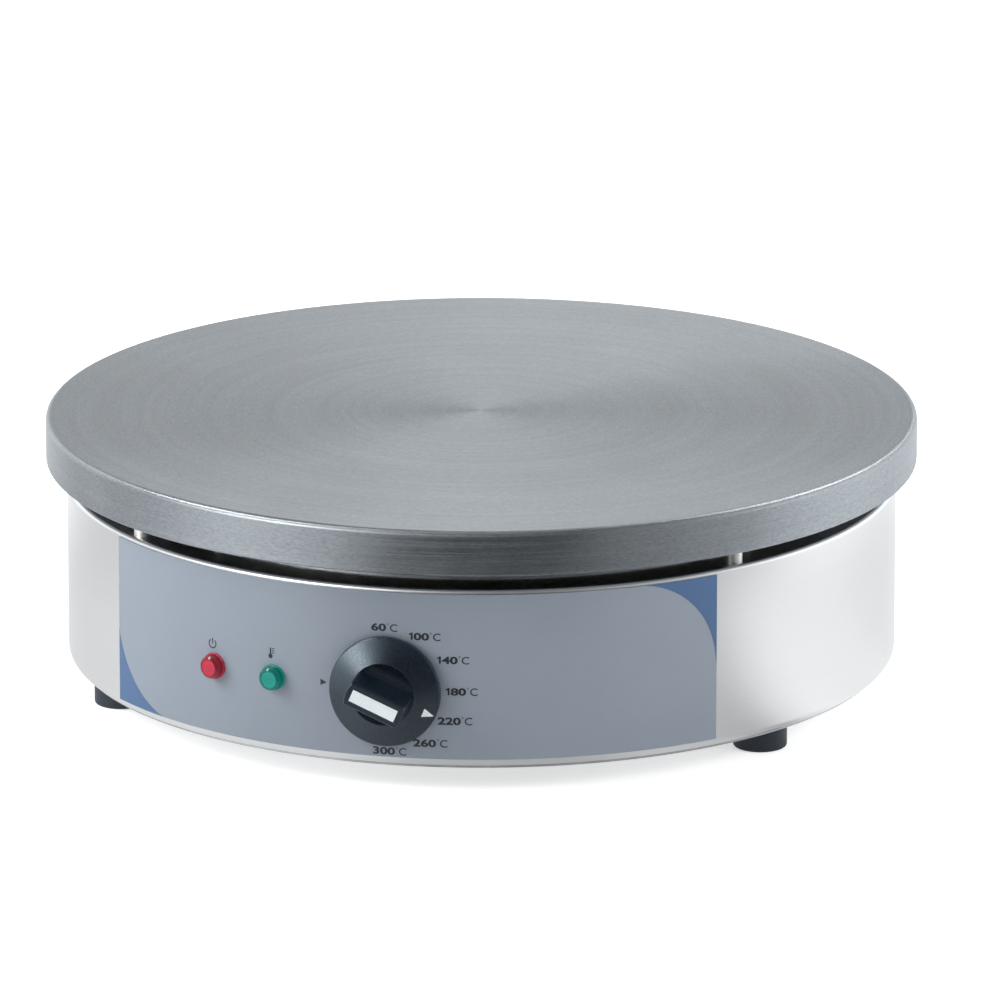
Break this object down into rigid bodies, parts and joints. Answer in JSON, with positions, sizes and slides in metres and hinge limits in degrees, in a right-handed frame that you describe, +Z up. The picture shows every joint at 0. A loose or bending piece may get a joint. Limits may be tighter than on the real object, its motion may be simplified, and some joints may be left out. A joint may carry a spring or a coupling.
{
  "type": "electric crepe maker",
  "caption": "Countertop electric crepe maker: a round cast-iron griddle plate on stand-off pins above a brushed steel drum with a thermostat knob and pilot lamps.",
  "frame": {"origin": "centre of the drum, on the surface that the feet stand on", "axes": "+Z up, -Y towards the control panel and the knob, +X to the right seen from the front"},
  "size_m": [0.3999, 0.428, 0.124],
  "materials": {
    "cast_iron_plate": "machined and seasoned cast iron, fine turning marks, satin",
    "brushed_stainless": "stainless sheet brushed round the drum",
    "panel_film": "printed polyester film, semi-gloss, grey with blue corner fields",
    "knob_black": "black thermoset moulding, satin gloss",
    "knob_white": "white inlay and printed pointer",
    "foot_rubber": "black rubber",
    "lens_red": "red translucent lens",
    "lens_green": "green translucent lens",
    "lamp_body": "white moulded nylon",
    "bright_steel": "bright turned steel",
    "zinc_steel": "zinc-plated steel",
    "clamp_steel": "dark heat-proof coated steel",
    "aluminised_steel": "aluminised steel sheet, dull",
    "element_sheath": "heat-darkened steel sheath",
    "copper": "drawn copper",
    "porcelain": "unglazed white ceramic",
    "mineral_wool": "ceramic fibre blanket",
    "phenolic_black": "black phenolic moulding",
    "nylon_black": "black moulded nylon",
    "seal_rubber": "black chloroprene",
    "terminal_brass": "plain brass",
    "wire_brown": "brown silicone lead",
    "wire_blue": "blue silicone lead",
    "wire_black": "black silicone lead",
    "wire_green": "green silicone lead"
  },
  "bodies": {
    "cooker": {"griddle_plate": "cast_iron_plate", "plate_studs": "zinc_steel", "plate_spacers": "bright_steel", "plate_washers": "zinc_steel", "plate_nuts": "zinc_steel", "heating_element": "element_sheath", "element_beads": "porcelain", "element_pins": "zinc_steel", "element_clamps": "clamp_steel", "clamp_screws": "zinc_steel", "sensor_bulb": "copper", "capillary_tube": "copper", "sensor_clip": "bright_steel", "clip_screws": "zinc_steel", "insulation_blanket": "mineral_wool", "heat_shield": "aluminised_steel", "shield_screws": "zinc_steel", "body_shell": "brushed_stainless", "control_panel": "panel_film", "base_plate": "aluminised_steel", "base_screws": "zinc_steel", "foot_front_left": "foot_rubber", "foot_front_right": "foot_rubber", "foot_rear": "foot_rubber", "foot_screws": "zinc_steel", "foot_nuts": "zinc_steel", "thermostat_mount": "bright_steel", "thermostat_housing": "phenolic_black", "thermostat_terminals": "terminal_brass", "thermostat_screws": "zinc_steel", "power_lens": "lens_red", "ready_lens": "lens_green", "power_lamp": "lamp_body", "ready_lamp": "lamp_body", "lamp_nuts": "zinc_steel", "lamp_terminals": "terminal_brass", "gland_body": "nylon_black", "gland_seal": "seal_rubber", "gland_cap": "nylon_black", "gland_nut": "nylon_black", "terminal_block": "porcelain", "terminal_sleeves": "terminal_brass", "terminal_screws": "zinc_steel", "block_screws": "zinc_steel", "earth_stud": "zinc_steel", "earth_nut": "terminal_brass", "wire_live": "wire_brown", "wire_neutral": "wire_blue", "wire_switched": "wire_black", "wire_earth": "wire_green", "power_lamp_leads": "wire_brown", "ready_lamp_leads": "wire_black"},
    "knob": {"knob": "knob_black", "knob_inlay": "knob_white", "knob_pointer": "knob_white", "thermostat_shaft": "bright_steel"}
  },
  "joints": [
    {"name": "knob_turn", "type": "hinge", "parent": "cooker", "child": "knob", "pos_m": [0, -0.19, 0.047], "axis": [0, 1, 0], "range_deg": [-203, 67]}
  ]
}
